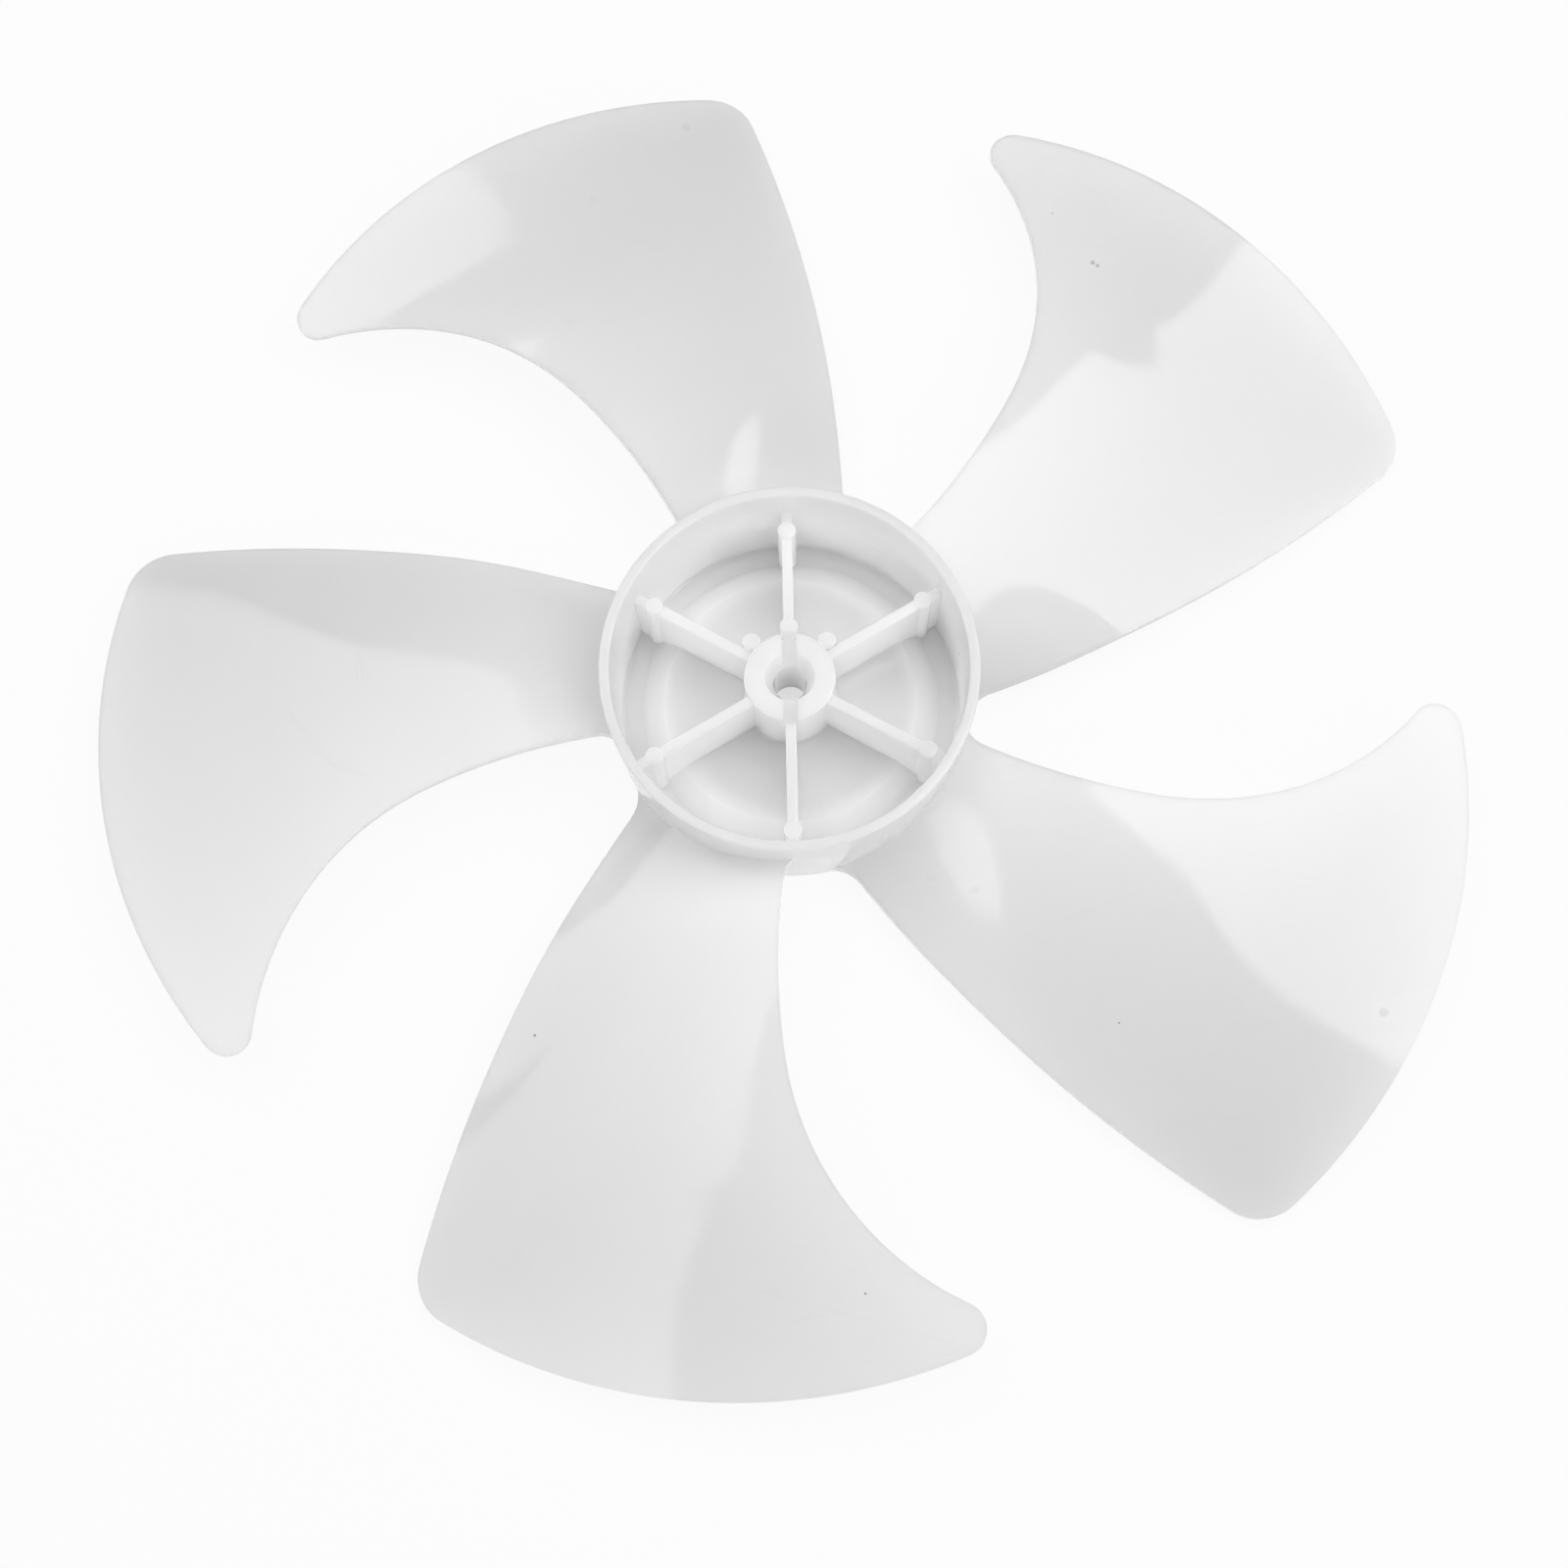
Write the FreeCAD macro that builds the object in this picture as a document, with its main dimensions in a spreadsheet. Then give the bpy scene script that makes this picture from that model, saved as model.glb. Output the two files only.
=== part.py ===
import FreeCAD, Part
import math
import os
import Sketcher

# Pedestal fan blade: one moulded piece of milky plastic, millimetres, +Z towards the motor.
# The origin is on the shaft bore, in the plane where the nut seats on the front of the hub.

doc = FreeCAD.newDocument("fan_blade")

# Driving dimensions
sheet = doc.addObject("Spreadsheet::Sheet", "Dims")
dims = {
    "blade_count": 5,
    "hub_rim_radius": 45.0,
    "hub_base_radius": 43.6,
    "hub_rim_height": 30.5,
    "hub_base_depth": 3.5,
    "hub_base_round": 2.5,
    "wall_rim": 2.5,
    "wall_base": 1.9,
    "floor_thickness": 2.4,
    "rim_bevel": 0.5,
    "nut_recess_radius": 28.5,
    "nut_recess_draft": 0.5,
    "gutter_inner_radius": 36.6,
    "plateau_radius": 31.0,
    "bore_radius": 4.05,
    "bore_lead_radius": 6.0,
    "bore_lead_depth": 6.0,
    "boss_radius": 11.0,
    "boss_height": 21.4,
    "pin_slot_width": 3.4,
    "pin_slot_depth": 5.5,
    "pin_slot_overrun": 0.5,
    "rib_count": 6,
    "rib_first_angle": 28.4,
    "rib_thickness": 2.6,
    "rib_height": 20.4,
    "rib_wall_bite": 0.9,
    "pad_radius": 2.2,
    "pad_proud": 0.6,
    "pad_outer_place": 37.5,
    "pad_boss_place": 12.9,
    "pad_boss_spread": 45,
    "lead_x": 25.6,
    "lead_y": 165.3,
    "lead_radius": 155.5,
    "lead_join_x": 88.1,
    "lead_tip_radius": 71.4,
    "outer_x": 30.7,
    "outer_y": 4.4,
    "outer_radius": 138.9,
    "trail_pass_x": 101.5,
    "trail_pass_y": 44.2,
    "trail_angle": 8.0,
    "trail_radius": 339.2,
    "tip_round": 6.0,
    "corner_round": 11.5,
    "lead_flare": 6.0,
    "trail_flare": 10.0,
    "sheet_low_side": 98.0,
    "sheet_high_side": 60.0,
    "blade_rim_gap": 0.4,
    "blade_base_gap": 0.2,
}

# Blade sections from the hub outwards: distance from the axis, height at the middle, pitch, curve, thickness.
sections = [
    ("root", 24.0, 14.2, 20.0, 162.0, 2.8),
    ("neck", 48.0, 15.2, 16.5, 178.0, 2.5),
    ("inner", 75.0, 16.3, 11.8, 203.0, 2.1),
    ("middle", 105.0, 14.5, 10.1, 250.0, 1.9),
    ("outer", 135.0, 10.2, 7.4, 325.0, 1.7),
    ("tip", 174.0, 5.9, 7.6, 500.0, 1.5),
]
for word, place, height, pitch, curve, thickness in sections:
    dims["section_place_" + word] = place
    dims["section_height_" + word] = height
    dims["section_pitch_" + word] = pitch
    dims["section_curve_" + word] = curve
    dims["section_thickness_" + word] = thickness

for row, (alias, value) in enumerate(dims.items(), start=1):
    sheet.set("A%d" % row, alias)
    sheet.set("B%d" % row, str(value))
    sheet.setAlias("B%d" % row, alias)
doc.recompute()


def size(alias):
    return float(sheet.get(alias))


def plane_of(body, role):
    return [item for item in body.Origin.OriginFeatures if item.Role == role][0]


def new_body(name):
    body = doc.addObject("PartDesign::Body", name)
    body.Label = name
    return body


def new_sketch(body, name, role):
    sketch = body.newObject("Sketcher::SketchObject", name)
    sketch.AttachmentSupport = [(plane_of(body, role), "")]
    sketch.MapMode = "FlatFace"
    return sketch


def bind(sketch, constraint, name, expression):
    index = sketch.addConstraint(constraint)
    sketch.renameConstraint(index, name)
    sketch.setExpression("Constraints." + name, expression)


def vec(x, y):
    return FreeCAD.Vector(x, y, 0)


def closed_lines(sketch, corners):
    first = sketch.GeometryCount
    count = len(corners)
    for index in range(count):
        start = vec(*corners[index])
        end = vec(*corners[(index + 1) % count])
        sketch.addGeometry(Part.LineSegment(start, end), False)
    for index in range(count):
        sketch.addConstraint(Sketcher.Constraint("Coincident", first + index, 2, first + (index + 1) % count, 1))


def place_corner(sketch, line, name, across, up):
    # Each corner is the start of its line, measured from the axis and from the nut seat.
    if across is not None:
        bind(sketch, Sketcher.Constraint("DistanceX", -1, 1, line, 1, 1.0), name + "_x", across)
    else:
        sketch.addConstraint(Sketcher.Constraint("PointOnObject", line, 1, -2))
    if up is not None:
        bind(sketch, Sketcher.Constraint("DistanceY", -1, 1, line, 1, 1.0), name + "_y", up)
    else:
        sketch.addConstraint(Sketcher.Constraint("PointOnObject", line, 1, -1))


def revolve(body, name, corners):
    # corners: name, starting x and y, and the expressions that drive them
    sketch = new_sketch(body, name + "_profile", "XZ_Plane")
    closed_lines(sketch, [(corner[1], corner[2]) for corner in corners])
    for line, corner in enumerate(corners):
        place_corner(sketch, line, corner[0], corner[3], corner[4])
    turned = body.newObject("PartDesign::Revolution", name)
    turned.Profile = sketch
    turned.ReferenceAxis = (sketch, ["V_Axis"])
    turned.Angle = 360
    doc.recompute()
    return turned


# Hub, outside: a drafted drum with its closed face to the front
hub = new_body("hub_outside")
base = -size("hub_base_depth")
rim = size("hub_rim_height")
rim_radius = size("hub_rim_radius")
bevel = size("rim_bevel")
revolve(hub, "hub_turned", [
    ("front", 0, base, None, "-Dims.hub_base_depth"),
    ("base", size("hub_base_radius"), base, "Dims.hub_base_radius", "-Dims.hub_base_depth"),
    ("rim_side", rim_radius, rim - bevel, "Dims.hub_rim_radius", "Dims.hub_rim_height - Dims.rim_bevel"),
    ("rim_top", rim_radius - bevel, rim, "Dims.hub_rim_radius - Dims.rim_bevel", "Dims.hub_rim_height"),
    ("top", 0, rim, None, "Dims.hub_rim_height"),
])


def edges_on(shape, test):
    return ["Edge%d" % (index + 1) for index, edge in enumerate(shape.Edges) if test(edge)]


def is_base_edge(edge):
    point = edge.Vertexes[0].Point
    return (len(edge.Vertexes) == 1 and abs(point.z - base) < 0.01
            and abs(math.hypot(point.x, point.y) - size("hub_base_radius")) < 0.01)


def round_edges(body, name, edges, radius):
    solid = body.Tip
    rounded = body.newObject("PartDesign::Fillet", name)
    rounded.Base = (solid, edges)
    rounded.setExpression("Radius", radius)
    body.Tip = rounded
    doc.recompute()


round_edges(hub, "hub_base_corner", edges_on(hub.Tip.Shape, is_base_edge), "Dims.hub_base_round")

# Hub, inside: the hollow of the cup, with a gutter round a raised floor over the nut recess
hollow = new_body("hub_hollow")
floor = size("floor_thickness")
corner_radius = size("hub_base_radius") - size("wall_base")
low_floor = "Dims.floor_thickness - Dims.hub_base_depth"
revolve(hollow, "hollow_turned", [
    ("floor", 0, floor, None, "Dims.floor_thickness"),
    ("mouth", 0, rim + 1, None, "Dims.hub_rim_height + 1"),
    ("lip", rim_radius - size("wall_rim"), rim + 1, "Dims.hub_rim_radius - Dims.wall_rim", "Dims.hub_rim_height + 1"),
    ("corner", corner_radius, floor + base, "Dims.hub_base_radius - Dims.wall_base", low_floor),
    ("gutter", size("gutter_inner_radius"), floor + base, "Dims.gutter_inner_radius", low_floor),
    ("plateau", size("plateau_radius"), floor, "Dims.plateau_radius", "Dims.floor_thickness"),
])

# Blade, sheet: arched sections lofted from the hub to the tip, flatter and thinner outwards
sheet_body = new_body("blade_sheet")
profiles = []
for word, place, height, pitch, curve, thickness in sections:
    sketch = new_sketch(sheet_body, "section_" + word, "YZ_Plane")
    sketch.setExpression("AttachmentOffset.Base.z", "-Dims.section_place_" + word)
    tilt = math.radians(pitch)
    middle = vec(-curve * math.sin(tilt), height - curve * math.cos(tilt))
    low = -size("sheet_low_side")
    high = size("sheet_high_side")
    ends = []
    for radius in (curve + thickness / 2, curve - thickness / 2):
        first = math.acos((high - middle.x) / radius)
        last = math.acos((low - middle.x) / radius)
        arc = Part.ArcOfCircle(Part.Circle(middle, FreeCAD.Vector(0, 0, 1), radius), first, last)
        sketch.addGeometry(arc, False)
        ends.append((arc.StartPoint, arc.EndPoint))
    sketch.addGeometry(Part.LineSegment(ends[0][0], ends[1][0]), False)
    sketch.addGeometry(Part.LineSegment(ends[0][1], ends[1][1]), False)
    sketch.addConstraint(Sketcher.Constraint("Coincident", 0, 3, 1, 3))
    sketch.addConstraint(Sketcher.Constraint("Coincident", 0, 1, 2, 1))
    sketch.addConstraint(Sketcher.Constraint("Coincident", 1, 1, 2, 2))
    sketch.addConstraint(Sketcher.Constraint("Coincident", 0, 2, 3, 1))
    sketch.addConstraint(Sketcher.Constraint("Coincident", 1, 2, 3, 2))
    sketch.addConstraint(Sketcher.Constraint("Vertical", 2))
    sketch.addConstraint(Sketcher.Constraint("Vertical", 3))
    arch = "Dims.section_curve_%s" % word
    half = "Dims.section_thickness_%s / 2" % word
    turn = "Dims.section_pitch_%s * 1 deg" % word
    rise = "Dims.section_height_%s" % word
    bind(sketch, Sketcher.Constraint("Radius", 0, curve + thickness / 2), "back", "%s + %s" % (arch, half))
    bind(sketch, Sketcher.Constraint("Radius", 1, curve - thickness / 2), "front", "%s - %s" % (arch, half))
    bind(sketch, Sketcher.Constraint("DistanceX", 0, 3, -1, 1, -middle.x), "centre_y", "%s * sin(%s)" % (arch, turn))
    bind(sketch, Sketcher.Constraint("DistanceY", 0, 3, -1, 1, -middle.y), "centre_z",
         "%s * cos(%s) - %s" % (arch, turn, rise))
    bind(sketch, Sketcher.Constraint("DistanceX", -1, 1, 2, 1, high), "high_side", "Dims.sheet_high_side")
    bind(sketch, Sketcher.Constraint("DistanceX", 3, 1, -1, 1, -low), "low_side", "Dims.sheet_low_side")
    profiles.append(sketch)
doc.recompute()
loft = sheet_body.newObject("PartDesign::AdditiveLoft", "sheet_loft")
loft.Profile = profiles[0]
loft.Sections = profiles[1:]
doc.recompute()

# Blade, plan: hollow leading edge, outer sweep and trailing edge, drawn with the hub circle they grow from
plan_body = new_body("blade_plan")
plan = new_sketch(plan_body, "plan", "XY_Plane")
root_radius = "Dims.hub_base_radius"


def circle_meet(centre_a, radius_a, centre_b, radius_b, side):
    # The crossing of two circles on the left (side 1) or right (side -1) of the line from a to b
    gap = centre_b - centre_a
    along = (radius_a ** 2 - radius_b ** 2 + gap.Length ** 2) / (2 * gap.Length)
    across = math.sqrt(radius_a ** 2 - along ** 2)
    ahead = gap / gap.Length
    return centre_a + ahead * along + FreeCAD.Vector(-ahead.y, ahead.x, 0) * (across * side)


def arc_between(centre, radius, start, end):
    first = math.atan2(start.y - centre.y, start.x - centre.x)
    last = math.atan2(end.y - centre.y, end.x - centre.x)
    return Part.ArcOfCircle(Part.Circle(centre, FreeCAD.Vector(0, 0, 1), radius), first, last)


axis = vec(0, 0)
lead = vec(-size("lead_x"), -size("lead_y"))
outer = vec(-size("outer_x"), size("outer_y"))
# The trailing edge bulges through one named point at one angle, whatever its radius.
trail_side = vec(-math.sin(math.radians(size("trail_angle"))), -math.cos(math.radians(size("trail_angle"))))
trail = vec(-size("trail_pass_x"), size("trail_pass_y")) + trail_side * size("trail_radius")
hub_radius = size("hub_base_radius")
join_angle = math.acos((-size("lead_join_x") - lead.x) / size("lead_radius"))
join = lead + vec(math.cos(join_angle), math.sin(join_angle)) * size("lead_radius")
lead_tip = join + (lead - join) * (size("lead_tip_radius") / size("lead_radius"))
lead_root = circle_meet(axis, hub_radius, lead, size("lead_radius"), -1)
tip = circle_meet(outer, size("outer_radius"), lead_tip, size("lead_tip_radius"), -1)
corner = circle_meet(outer, size("outer_radius"), trail, size("trail_radius"), -1)
trail_root = circle_meet(axis, hub_radius, trail, size("trail_radius"), -1)
plan.addGeometry(arc_between(lead, size("lead_radius"), lead_root, join), False)
plan.addGeometry(arc_between(lead_tip, size("lead_tip_radius"), join, tip), False)
plan.addGeometry(arc_between(outer, size("outer_radius"), corner, tip), False)
plan.addGeometry(arc_between(trail, size("trail_radius"), trail_root, corner), False)
plan.addGeometry(arc_between(axis, hub_radius, lead_root, trail_root), False)
plan.addConstraint(Sketcher.Constraint("Coincident", 4, 3, -1, 1))
bind(plan, Sketcher.Constraint("Radius", 4, hub_radius), "root_circle", root_radius)
bind(plan, Sketcher.Constraint("Radius", 0, size("lead_radius")), "lead_curve", "Dims.lead_radius")
bind(plan, Sketcher.Constraint("DistanceX", 0, 3, -1, 1, -lead.x), "lead_left", "Dims.lead_x")
bind(plan, Sketcher.Constraint("DistanceY", 0, 3, -1, 1, -lead.y), "lead_down", "Dims.lead_y")
bind(plan, Sketcher.Constraint("Radius", 3, size("trail_radius")), "trail_curve", "Dims.trail_radius")
bind(plan, Sketcher.Constraint("DistanceX", 3, 3, -1, 1, -trail.x), "trail_left",
     "Dims.trail_pass_x + Dims.trail_radius * sin(Dims.trail_angle * 1 deg)")
bind(plan, Sketcher.Constraint("DistanceY", 3, 3, -1, 1, -trail.y), "trail_down",
     "Dims.trail_radius * cos(Dims.trail_angle * 1 deg) - Dims.trail_pass_y")
bind(plan, Sketcher.Constraint("Radius", 2, size("outer_radius")), "outer_curve", "Dims.outer_radius")
bind(plan, Sketcher.Constraint("DistanceX", 2, 3, -1, 1, -outer.x), "outer_left", "Dims.outer_x")
bind(plan, Sketcher.Constraint("DistanceY", -1, 1, 2, 3, outer.y), "outer_up", "Dims.outer_y")
plan.addConstraint(Sketcher.Constraint("Tangent", 0, 2, 1, 1))
bind(plan, Sketcher.Constraint("Radius", 1, size("lead_tip_radius")), "tip_curve", "Dims.lead_tip_radius")
bind(plan, Sketcher.Constraint("DistanceX", 1, 1, -1, 1, size("lead_join_x")), "join_left", "Dims.lead_join_x")
plan.addConstraint(Sketcher.Constraint("Coincident", 1, 2, 2, 2))
plan.addConstraint(Sketcher.Constraint("Coincident", 3, 2, 2, 1))
plan.addConstraint(Sketcher.Constraint("Coincident", 4, 1, 0, 1))
plan.addConstraint(Sketcher.Constraint("Coincident", 4, 2, 3, 1))
plan.setExpression("AttachmentOffset.Base.z", "Dims.blade_base_gap - Dims.hub_base_depth")
prism = plan_body.newObject("PartDesign::Pad", "plan_prism")
prism.Profile = plan
prism.setExpression("Length", "Dims.hub_rim_height + Dims.hub_base_depth - Dims.blade_rim_gap - Dims.blade_base_gap")
doc.recompute()


def upright_near(shape, point):
    # The upright edge of the prism that stands over a point of the plan
    def gap(edge):
        place = edge.Vertexes[0].Point
        return math.hypot(place.x - point.x, place.y - point.y)

    uprights = [(gap(edge), "Edge%d" % (index + 1)) for index, edge in enumerate(shape.Edges)
                if len(edge.Vertexes) == 2
                and abs(edge.Vertexes[0].Z - edge.Vertexes[1].Z) > 1]
    return min(uprights)[1]


for word, point in (("tip_round", tip), ("corner_round", corner), ("lead_flare", lead_root), ("trail_flare", trail_root)):
    round_edges(plan_body, "plan_" + word, [upright_near(plan_body.Tip.Shape, point)], "Dims." + word)

blade = doc.addObject("Part::Common", "blade")
blade.Base = sheet_body
blade.Tool = plan_body
doc.recompute()


def ring_of(source, name, angles):
    # Copies of one solid turned about the axis; each angle is an expression in degrees
    copies = []
    for index, angle in enumerate(angles, start=1):
        copy = doc.addObject("App::Link", "%s_%d" % (name, index))
        copy.LinkedObject = source
        copy.LinkTransform = True
        copy.setExpression("Placement.Rotation.Angle", angle)
        copies.append(copy)
    doc.recompute()
    return copies


def fuse(name, shapes):
    joined = doc.addObject("Part::MultiFuse", name)
    joined.Shapes = shapes
    joined.Refine = True
    doc.recompute()
    return joined


def cut(name, solid, tool):
    left = doc.addObject("Part::Cut", name)
    left.Base = solid
    left.Tool = tool
    left.Refine = True
    doc.recompute()
    return left


blade_angles = ["360 deg / Dims.blade_count * %d" % index for index in range(int(size("blade_count")))]
wheel = fuse("hub_and_blades", [hub] + ring_of(blade, "blade", blade_angles))
shell = cut("open_hub", wheel, hollow)

# Ribs: upright webs from the boss to the wall, each with a round ejector pad near the wall
rib_web = doc.addObject("Part::Box", "rib_web")
rib_web.setExpression("Length", "Dims.hub_base_radius - Dims.wall_base + Dims.rib_wall_bite")
rib_web.setExpression("Width", "Dims.rib_thickness")
rib_web.setExpression("Height", "Dims.rib_height + Dims.hub_base_depth - Dims.floor_thickness / 2")
rib_web.setExpression("Placement.Base.y", "-Dims.rib_thickness / 2")
rib_web.setExpression("Placement.Base.z", "Dims.floor_thickness / 2 - Dims.hub_base_depth")


def pad(name, place, foot):
    post = doc.addObject("Part::Cylinder", name)
    post.setExpression("Radius", "Dims.pad_radius")
    post.setExpression("Placement.Base.x", place)
    post.setExpression("Placement.Base.z", foot)
    post.setExpression("Height", "Dims.rib_height + Dims.pad_proud - (%s)" % foot)
    return post


wall_pad = pad("wall_pad", "Dims.pad_outer_place", "Dims.floor_thickness / 2 - Dims.hub_base_depth")
rib = fuse("rib", [rib_web, wall_pad])
rib_angles = ["(Dims.rib_first_angle + 360 / Dims.rib_count * %d) * 1 deg" % index
              for index in range(int(size("rib_count")))]

# Boss: a round post on the floor, with three ejector pads: one on the second rib and one either side of it
boss = doc.addObject("Part::Cylinder", "boss")
boss.setExpression("Radius", "Dims.boss_radius")
boss.setExpression("Height", "Dims.boss_height - Dims.floor_thickness / 2")
boss.setExpression("Placement.Base.z", "Dims.floor_thickness / 2")
boss_pad = pad("boss_pad", "Dims.pad_boss_place", "Dims.floor_thickness / 2")
doc.recompute()
second_rib = "Dims.rib_first_angle + 360 / Dims.rib_count"
boss_pad_angles = ["(%s + Dims.pad_boss_spread * %d) * 1 deg" % (second_rib, side) for side in (-1, 0, 1)]
filled = fuse("ribbed_hub", [shell, boss] + ring_of(rib, "rib", rib_angles)
              + ring_of(boss_pad, "boss_pad", boss_pad_angles))

# Bore for the motor shaft, its lead-in on the motor side, and the slot for the shaft's cross pin along the second rib
bore = doc.addObject("Part::Cylinder", "bore")
bore.setExpression("Radius", "Dims.bore_radius")
bore.setExpression("Height", "Dims.boss_height + Dims.hub_base_depth + 2")
bore.setExpression("Placement.Base.z", "-Dims.hub_base_depth - 1")
lead_in = doc.addObject("Part::Cone", "bore_lead_in")
lead_in.setExpression("Radius1", "Dims.bore_radius")
lead_in.setExpression("Radius2", "Dims.bore_lead_radius")
lead_in.setExpression("Height", "Dims.bore_lead_depth")
lead_in.setExpression("Placement.Base.z", "Dims.boss_height - Dims.bore_lead_depth")
pin_slot = doc.addObject("Part::Box", "pin_slot")
pin_slot.setExpression("Length", "(Dims.boss_radius + Dims.pin_slot_overrun) * 2")
pin_slot.setExpression("Width", "Dims.pin_slot_width")
pin_slot.setExpression("Height", "Dims.pin_slot_depth + 1")
pin_slot.setExpression("Placement.Base.x", "-Dims.boss_radius - Dims.pin_slot_overrun")
pin_slot.setExpression("Placement.Base.y", "-Dims.pin_slot_width / 2")
pin_slot.setExpression("Placement.Base.z", "Dims.boss_height - Dims.pin_slot_depth")
doc.recompute()
turned_slot = ring_of(pin_slot, "turned_slot", ["(%s) * 1 deg" % second_rib])

# Recess in the front of the hub, whose flat bottom is the seat of the nut
nut_recess = doc.addObject("Part::Cone", "nut_recess")
nut_recess.setExpression("Radius1", "Dims.nut_recess_radius + Dims.nut_recess_draft")
nut_recess.setExpression("Radius2", "Dims.nut_recess_radius")
nut_recess.setExpression("Height", "Dims.hub_base_depth")
nut_recess.setExpression("Placement.Base.z", "-Dims.hub_base_depth")
doc.recompute()
fan_blade = cut("fan_blade", filled, fuse("shaft_and_nut_space", [bore, lead_in, nut_recess] + turned_slot))

# Every object must have rebuilt, and the finished piece must be one sound solid
for item in doc.Objects:
    if "Invalid" in item.State or "Error" in item.State:
        raise RuntimeError("%s did not rebuild" % item.Name)
solid = fan_blade.Shape
if solid.isNull() or not solid.isValid() or len(solid.Solids) != 1:
    raise RuntimeError("the fan blade is not one sound solid")

os.makedirs("parts", exist_ok=True)
solid.exportStep("parts/fan_blade.step")
print("fan_blade", round(solid.Volume), solid.BoundBox)
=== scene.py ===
import math

import bmesh
import bpy
from mathutils import Matrix, Vector
from mathutils.geometry import delaunay_2d_cdt


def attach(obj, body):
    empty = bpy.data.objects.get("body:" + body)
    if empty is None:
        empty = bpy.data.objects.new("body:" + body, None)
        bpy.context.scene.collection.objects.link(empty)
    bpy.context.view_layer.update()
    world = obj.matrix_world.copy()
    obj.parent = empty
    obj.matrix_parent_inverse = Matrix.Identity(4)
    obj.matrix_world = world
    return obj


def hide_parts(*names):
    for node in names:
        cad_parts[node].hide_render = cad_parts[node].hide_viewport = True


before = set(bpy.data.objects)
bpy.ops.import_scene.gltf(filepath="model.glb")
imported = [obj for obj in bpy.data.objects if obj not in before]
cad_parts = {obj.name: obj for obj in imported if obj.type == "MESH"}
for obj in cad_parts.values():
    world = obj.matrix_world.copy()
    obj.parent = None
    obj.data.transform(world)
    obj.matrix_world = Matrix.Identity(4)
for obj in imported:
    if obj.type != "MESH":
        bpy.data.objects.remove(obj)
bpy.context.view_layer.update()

# Hub cup
# The hub is a drafted cup of milky plastic, open towards the motor, with a gutter round its raised floor.
# The boss in its middle takes the motor shaft, in a bore with a conical lead-in.
# It is injection moulded in one shot with the ribs and blades, so every corner has a small rounding.
MM = 0.001
TURN = 2 * math.pi
RIM_RADIUS = 45.0 * MM
BASE_RADIUS = 43.6 * MM
BASE_ROUND = 2.5 * MM
RIM_HEIGHT = 30.5 * MM
RIM_ROUND = 0.6 * MM
FRONT_FACE = -3.5 * MM
WALL_AT_RIM = 2.5 * MM
WALL_AT_BASE = 1.9 * MM
FLOOR_TOP = 2.4 * MM
FLOOR_ROUND = 0.8 * MM
GUTTER_FLOOR = FLOOR_TOP + FRONT_FACE
GUTTER_RADIUS = 36.6 * MM
PLATEAU_RADIUS = 31.0 * MM
RECESS_RADIUS = 28.5 * MM
RECESS_DRAFT = 0.5 * MM
RECESS_ROUND = 0.5 * MM
BOSS_RADIUS = 11.0 * MM
BOSS_TOP = 21.4 * MM
BOSS_ROUND = 0.5 * MM
BORE_RADIUS = 4.05 * MM
BORE_ROUND = 0.3 * MM
LEAD_IN_RADIUS = 6.0 * MM
LEAD_IN_DEPTH = 6.0 * MM
SHARP_ANGLE = math.radians(40)
# The plastic. Texture scales are in cells per metre, shares and limits are of the texture's own value.
PLASTIC_IOR = 1.57
SCATTER_LENGTH = 6.0 * MM
CLOUD_SCALE = 26
CLOUD_DETAIL = 4
MILK_RAMP = [(0.35, (0.974, 0.975, 0.976, 1)), (0.65, (0.988, 0.989, 0.990, 1))]
GLOSS_CLOUDS = (0.3, 0.7)
ROUGHNESS = (0.06, 0.10)
DIRT_COLOUR = (0.36, 0.36, 0.35, 1)
DUST_SCALE = 95
DUST_SIZE = 0.032
DUST_LIMIT = 0.86
SCRATCH_ANGLES = [math.radians(20), math.radians(-38)]
SCRATCH_SCALE = (9, 55, 9)
SCRATCH_WIDTH = 0.010
SCRATCH_TINT = 0.06
SCRATCH_DULLING = 0.25
WORN_SCALE = 24
WORN_DETAIL = 2
WORN_LIMITS = (0.58, 0.68)
WAVE_SCALE = 30
WAVE_DETAIL = 1
WAVE_STRENGTH = 0.15
WAVE_DEPTH = 0.4 * MM
# Spots of dirt: blade, distance along and across it, radius, strength. They fade out from a core.
BLADE_COUNT = 5
MARK_CORE = 0.6
MARKS = [
    (4, -158.1 * MM, 30.4 * MM, 1.4 * MM, 0.10),
    (4, -143.2 * MM, -0.4 * MM, 1.2 * MM, 0.04),
    (2, -159.5 * MM, -9.8 * MM, 1.3 * MM, 0.45),
    (2, -53.6 * MM, 20.6 * MM, 1.3 * MM, 0.08),
    (2, -64.1 * MM, 18.0 * MM, 1.3 * MM, 0.08),
    (3, -130.4 * MM, -39.4 * MM, 0.7 * MM, 0.75),
    (3, -130.8 * MM, -38.0 * MM, 0.6 * MM, 0.75),
]


def feed(tree, node, values):
    """Links a node's inputs to the outputs of other nodes, or sets plain values on them."""
    for key, value in values.items():
        if isinstance(value, bpy.types.NodeSocket):
            tree.links.new(value, node.inputs[key])
        else:
            node.inputs[key].default_value = value
    return node


def maths(tree, operation, *values):
    """The result of a Math node."""
    node = tree.nodes.new("ShaderNodeMath")
    node.operation = operation
    return feed(tree, node, dict(enumerate(values))).outputs["Value"]


def ranged(tree, value, start, end, first, last):
    """A value mapped from the range start to end onto the range first to last, and held inside it."""
    return feed(tree, tree.nodes.new("ShaderNodeMapRange"), {
        "Value": value, "From Min": start, "From Max": end, "To Min": first, "To Max": last}).outputs["Result"]


def noise(tree, place, scale, detail):
    """A soft noise pattern in space."""
    return feed(tree, tree.nodes.new("ShaderNodeTexNoise"), {
        "Vector": place, "Scale": scale, "Detail": detail}).outputs["Fac"]


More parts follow.
